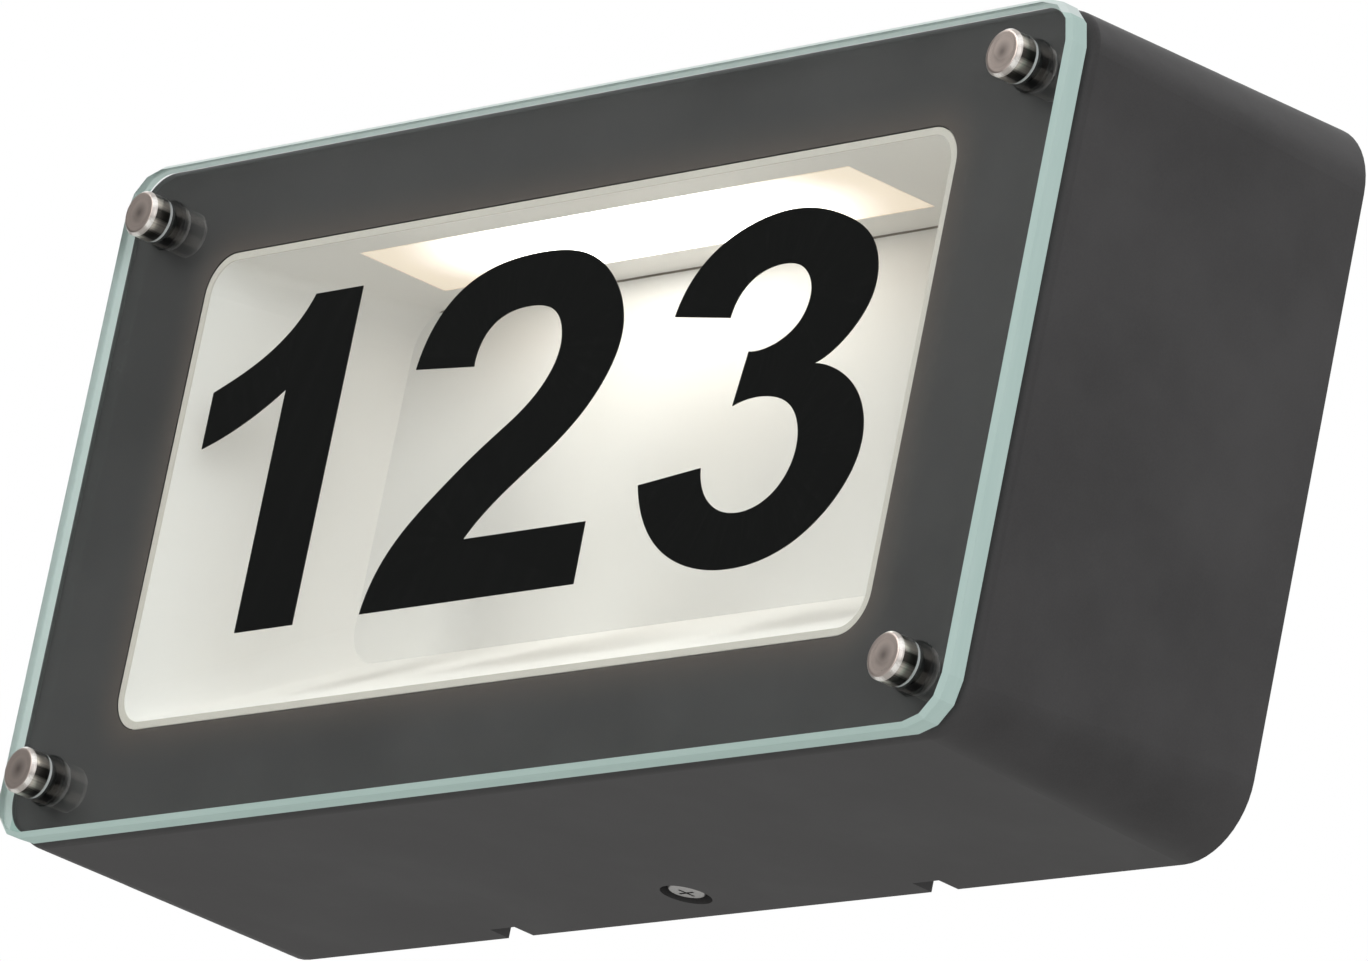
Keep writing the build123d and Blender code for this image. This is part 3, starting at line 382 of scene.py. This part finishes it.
dress(makeGlass(clearGlass), "front_glass")

# Digits: matt black film on the back of the glass
digitFilm = {
    "colour": (0.006, 0.006, 0.006),
    "paler": 1.7,
    "specular": 0.25,
    "roughness": (0.62, 0.74),
    "grainPerMetre": 3000,
    "grainDepth": 0.00001,
}


def makeFilm(d):
    finish = Finish("blackFilm", Specular_IOR_Level=d["specular"])
    grain = finish.noise(d["grainPerMetre"])
    finish.paint(
        Base_Color=finish.between(grain, d["colour"], shaded(d["colour"], d["paler"])),
        Roughness=finish.spread(grain, noiseReach, d["roughness"]),
    )
    finish.emboss(grain, d["grainDepth"])
    return finish


dress(makeFilm(digitFilm), "digit_1", "digit_2", "digit_3")

# Reflector tray: satin white plastic, a little warm, with a darker front lip and a thin shadow
# line where the ceiling meets the back panel
whiteTray = {
    "colour": (0.955, 0.935, 0.905),
    "worn": (0.935, 0.91, 0.87),
    "lip": (0.66, 0.62, 0.56),
    "lipOut": 0.0731,
    "seamShadow": (0.36, 0.32, 0.28),
    "seamHalfWidth": 0.00035,
    "seamOut": 0.0343,
    "seamUp": 0.0512,
    "cloudPerMetre": 14,
    "cloudReach": (0.4, 0.7),
    "grainPerMetre": 1800,
    "grainDepth": 0.00001,
    "grainStrength": 0.5,
    "roughness": (0.45, 0.55),
    "specular": 0.35,
}


def makeTray(d):
    finish = Finish("whiteTray", Specular_IOR_Level=d["specular"])
    cloud = finish.noise(d["cloudPerMetre"], 3.0)
    grain = finish.noise(d["grainPerMetre"])
    _, y, z = finish.parts(finish.spot())
    # Painted shadow: a thin dark line is painted where the ceiling meets the back panel
    behind, above = y + d["seamOut"], z - d["seamUp"]
    isSeamShadow = behind * behind + above * above < d["seamHalfWidth"] ** 2
    isLip = y < -d["lipOut"]
    plain = finish.between(finish.spread(cloud, d["cloudReach"]), d["colour"], d["worn"])
    finish.paint(
        Base_Color=finish.between(isLip, finish.between(isSeamShadow, plain, d["seamShadow"]), d["lip"]),
        Roughness=finish.spread(grain, noiseReach, d["roughness"]),
    )
    finish.emboss(grain, d["grainDepth"], d["grainStrength"])
    return finish


dress(makeTray(whiteTray), "reflector_tray")

# Diffuser: opal plastic that glows, white over the LED board and beige towards its ends
opalGlow = {
    "colour": (0.80, 0.76, 0.70),
    "cloud": 0.97,
    "cloudPerMetre": 90,
    "roughness": 0.4,
    "middle": (1.0, 0.97, 0.91),
    "ends": (0.105, 0.084, 0.062),
    "strength": 5.0,
    "halfLength": 0.0775,
    "halfDepth": 0.0118,
    "centreOut": 0.0548,
    "depthShare": 0.16,
    "glowReach": (0.12, 1.0),
    "falloff": 2.6,
}


def makeOpal(d):
    finish = Finish("opalDiffuser", Roughness=d["roughness"], Emission_Strength=d["strength"])
    x, y, _ = finish.parts(finish.spot())
    along = x * (1 / d["halfLength"])
    across = (y + d["centreOut"]) * (1 / d["halfDepth"])
    away = along ** 2 + d["depthShare"] * across ** 2
    glow = finish.spread(away, d["glowReach"], (1, 0)) ** d["falloff"]
    cloud = finish.noise(d["cloudPerMetre"], 1.0)
    finish.paint(
        Base_Color=finish.between(cloud, d["colour"], shaded(d["colour"], d["cloud"])),
        Emission_Color=finish.between(glow, d["ends"], d["middle"]),
    )
    return finish


dress(makeOpal(opalGlow), "diffuser")

# Wall bracket: zinc-plated sheet with a fine rolled grain
zincSheet = {
    "colour": (0.50, 0.51, 0.52),
    "paintedGlowAndZincBloom": (0.62, 0.63, 0.63),
    "bloomPerMetre": 35,
    "paintedGlowAndZincBloomReach": (0.35, 0.7),
    "grainPerMetre": 900,
    "grainStretch": (0.04, 1, 1),
    "grainDepth": 0.00001,
    "grainStrength": 0.6,
    "roughness": (0.32, 0.5),
}


def makeZinc(d):
    finish = Finish("zincSheet", Metallic=1.0)
    rolled = finish.noise(d["grainPerMetre"], 3.0, 0.6, finish.spot(d["grainStretch"]))
    paintedGlowAndZincBloom = finish.spread(finish.noise(d["bloomPerMetre"], 4.0, 0.6), d["paintedGlowAndZincBloomReach"])
    finish.paint(
        Base_Color=finish.between(paintedGlowAndZincBloom, d["colour"], d["paintedGlowAndZincBloom"]),
        Roughness=finish.spread(rolled, noiseReach, d["roughness"]),
    )
    finish.emboss(rolled, d["grainDepth"], d["grainStrength"])
    return finish


dress(makeZinc(zincSheet), "wall_bracket")

# Plain finishes that share one grain: colour, roughness, metallic and the pieces that have it
plainGrain = {
    "perMetre": 1500,
    "depth": 0.00002,
    "strength": 0.6,
    "rougher": 0.12,
    "cloudPerMetre": 60,
    "cloud": 0.85,
}
plainFinishes = {
    "blackRubber": (
        (0.022, 0.022, 0.023), 0.6, 0.0,
        ["bracket_grommet", "rear_gasket", "tray_gasket", "diffuser_seal", "cable_grommet",
         "black_washers"],
    ),
    "satinSteel": (
        (0.48, 0.47, 0.46), 0.28, 1.0,
        ["lock_screw", "clamp_nut", "rear_cover_screws", "tray_screws", "carrier_screws", "board_screws",
         "driver_screws", "terminal_fixings", "earth_screw"],
    ),
    "millAluminium": ((0.62, 0.62, 0.63), 0.38, 1.0, ["led_carrier"]),
    "boardMask": ((0.84, 0.84, 0.82), 0.35, 0.0, ["led_board"]),
    "phosphor": ((0.80, 0.62, 0.16), 0.4, 0.0, ["led_chips"]),
    "driverCase": ((0.74, 0.74, 0.72), 0.5, 0.0, ["led_driver"]),
    "palePlastic": ((0.72, 0.70, 0.62), 0.4, 0.0, ["terminal_block"]),
    "platedBrass": ((0.62, 0.47, 0.22), 0.3, 1.0, ["terminal_screws"]),
    "tinnedLug": ((0.58, 0.57, 0.54), 0.35, 1.0, ["earth_lug"]),
    "brownLead": ((0.16, 0.065, 0.03), 0.42, 0.0, ["lead_live"]),
    "blueLead": ((0.03, 0.12, 0.42), 0.42, 0.0, ["lead_neutral"]),
    "redLead": ((0.42, 0.03, 0.025), 0.42, 0.0, ["lead_led_plus"]),
    "blackLead": ((0.02, 0.02, 0.021), 0.42, 0.0, ["lead_led_minus"]),
}


def makePlain(name, colour, rough, metallic):
    finish = Finish(name, Metallic=metallic)
    grain = finish.noise(plainGrain["perMetre"], 3.0)
    cloud = finish.noise(plainGrain["cloudPerMetre"])
    finish.paint(
        Base_Color=finish.between(cloud, colour, shaded(colour, plainGrain["cloud"])),
        Roughness=finish.spread(grain, noiseReach, (rough, rough + plainGrain["rougher"])),
    )
    finish.emboss(grain, plainGrain["depth"], plainGrain["strength"])
    return finish


for finishName, (colour, rough, metallic, dressed) in plainFinishes.items():
    dress(makePlain(finishName, colour, rough, metallic), *dressed)

# Earth lead: green with long yellow patches
earthLead = {
    "green": (0.05, 0.30, 0.06),
    "yellow": (0.75, 0.62, 0.04),
    "patchesPerMetre": 60,
    "patchStretch": (1, 1, 0.2),
    "roughness": 0.42,
}


def makeEarthLead(d):
    finish = Finish("earthLead", Roughness=d["roughness"])
    patches = finish.noise(d["patchesPerMetre"], 0.0, 0.5, finish.spot(d["patchStretch"]))
    finish.paint(Base_Color=finish.between(patches > 0.5, d["green"], d["yellow"]))
    return finish


dress(makeEarthLead(earthLead), "lead_earth")

# Clear washers: clear plastic with a milky haze
clearPlastic = {
    "colour": (0.92, 0.94, 0.93),
    "haze": (0.84, 0.88, 0.87),
    "hazePerMetre": 600,
    "roughness": (0.12, 0.25),
    "transmission": 0.35,
    "refraction": 1.46,
}


def makeClearPlastic(d):
    finish = Finish("clearPlastic", Transmission_Weight=d["transmission"], IOR=d["refraction"])
    haze = finish.noise(d["hazePerMetre"])
    finish.paint(
        Base_Color=finish.between(haze, d["colour"], d["haze"]),
        Roughness=finish.spread(haze, noiseReach, d["roughness"]),
    )
    return finish


dress(makeClearPlastic(clearPlastic), *[f"cap_washer_{number}" for number in range(1, 5)])
print("node finishes are on")

# Caps: turned steel with a faint turned face and a threaded stud; the bright chamfer and the side's light
# and dark bands are painted highlights and painted reflections
cap = {
    "radius": 0.005,
    "chamfer": 0.0005,
    "edgeRound": 0.00008,
    "seatChamfer": 0.0002,
    "faceRim": 0.0006,
    "faceDish": 0.00006,
    "dishRadius": 0.0025,
    "centreRadius": 0.0004,
    "studRadius": 0.00245,
    "studChamfer": 0.0004,
    "threadDepth": 0.00035,
    "threadPitch": 0.0008,
    "threadStart": 0.0042,
    "segments": 96,
}
turnedSteel = {
    "face": (0.56, 0.48, 0.44),
    "faceCentre": (0.24, 0.205, 0.19),
    "centreReach": (0.0003, 0.0026),
    "chamferPaintedShade": (0.50, 0.46, 0.43),
    "chamferPaintedHighlight": (0.95, 0.92, 0.88),
    "chamferFacing": -0.3,
    "sidePaintedShade": (0.045, 0.041, 0.037),
    "sidePaintedHighlight": (0.62, 0.57, 0.51),
    "paintedReflectionBands": 6,
    "paintedReflectionTurn": -2.6,
    "streaksPerMetre": 2600,
    "streakStretch": (1, 0.02, 1),
    "streakShare": 2.6,
    "paintedShineReach": (0.9, 2.2),
    "ringsPerMetre": 9000,
    "ringDepth": 0.000012,
    "ringStrength": 0.7,
    "roughness": (0.26, 0.38),
}


def makeTurnedSteel(d):
    finish = Finish("turnedSteel", Metallic=1.0)
    x, _, z = finish.parts(finish.spot())
    radius = (x * x + z * z) ** 0.5
    fromAxis = finish.add("ShaderNodeCombineXYZ", sockets={0: radius * d["ringsPerMetre"]})
    rings = finish.noise(1.0, 2.0, 0.6, fromAxis)
    streaks = finish.noise(d["streaksPerMetre"], 3.0, 0.7, finish.spot(d["streakStretch"]))
    # Painted reflections: light and dark bands turned about the cap's axis stand in for reflected lamps on
    # the side and the chamfer, mixed with real axial brushing streaks
    angle = finish.reckon("ARCTAN2", z, x)
    paintedReflectionBands = finish.reckon("COSINE", angle * d["paintedReflectionBands"] + d["paintedReflectionTurn"])
    facing = finish.facing()
    isFace = facing < frontFacing
    face = finish.between(finish.spread(radius, d["centreReach"], (1, 0)), d["face"], d["faceCentre"])
    paintedShine = finish.spread(paintedReflectionBands + d["streakShare"] * streaks, d["paintedShineReach"])
    side = finish.between(paintedShine, d["sidePaintedShade"], d["sidePaintedHighlight"])
    chamfer = finish.between(paintedShine, d["chamferPaintedShade"], d["chamferPaintedHighlight"])
    turned = finish.between(facing < d["chamferFacing"], side, chamfer)
    finish.paint(
        Base_Color=finish.between(isFace, turned, face),
        Roughness=finish.spread(rings, noiseReach, d["roughness"]),
    )
    finish.emboss(rings * isFace, d["ringDepth"], d["ringStrength"])
    return finish


# A ring of points at each step of the profile, given as distance from the axis and place along it
def turnedMesh(name, profile, segments):
    points, faces = [], []
    for radius, along in profile:
        for step in range(segments):
            angle = 2 * pi * step / segments
            points.append((radius * cos(angle), -along, radius * sin(angle)))
    for ring in range(len(profile) - 1):
        for step in range(segments):
            after = (step + 1) % segments
            near, far = ring * segments, (ring + 1) * segments
            faces.append((near + step, far + step, far + after, near + after))
    faces.append(tuple(range(segments)))
    faces.append(tuple(reversed(range((len(profile) - 1) * segments, len(profile) * segments))))
    mesh = bpy.data.meshes.new(name)
    mesh.from_pydata(points, [], faces)
    mesh.update()
    for polygon in mesh.polygons:
        polygon.use_smooth = True
    return mesh


# From the stud's end at the back to the middle of the cap's face
def capProfile(c, back, seat, front):
    stud, radius, chamfer, edgeRound = c["studRadius"], c["radius"], c["chamfer"], c["edgeRound"]
    profile = [(stud - c["studChamfer"], back), (stud, back + c["studChamfer"])]
    along = back + c["threadPitch"]
    while along < seat - c["threadStart"]:
        profile.append((stud - c["threadDepth"], along))
        profile.append((stud, along + c["threadPitch"] / 2))
        along += c["threadPitch"]
    return profile + [
        (stud, along),
        (stud, seat),
        (radius - c["seatChamfer"], seat),
        (radius, seat + c["seatChamfer"]),
        (radius, front - chamfer - edgeRound),
        (radius - edgeRound, front - chamfer),
        (radius - chamfer + edgeRound, front - edgeRound),
        (radius - chamfer, front),
        (radius - chamfer - c["faceRim"], front - c["faceDish"] / 2),
        (c["dishRadius"], front - c["faceDish"]),
        (c["centreRadius"], front - c["faceDish"]),
    ]


def makeCap(number, finish):
    low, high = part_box(f"cap_{number}")
    seat = -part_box(f"cap_washer_{number}")[0].y
    centre = (low + high) / 2
    name = f"turned_cap_{number}"
    profile = capProfile(cap, back=-high.y, seat=seat, front=-low.y)
    piece = bpy.data.objects.new(name, turnedMesh(name, profile, cap["segments"]))
    piece.location = (centre.x, 0, centre.z)
    piece.data.materials.append(finish.material)
    bpy.context.scene.collection.objects.link(piece)
    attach(piece, f"cap_{number}")
    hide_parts(f"cap_{number}")


capFinish = makeTurnedSteel(turnedSteel)
for number in range(1, 5):
    makeCap(number, capFinish)
print("caps are turned")
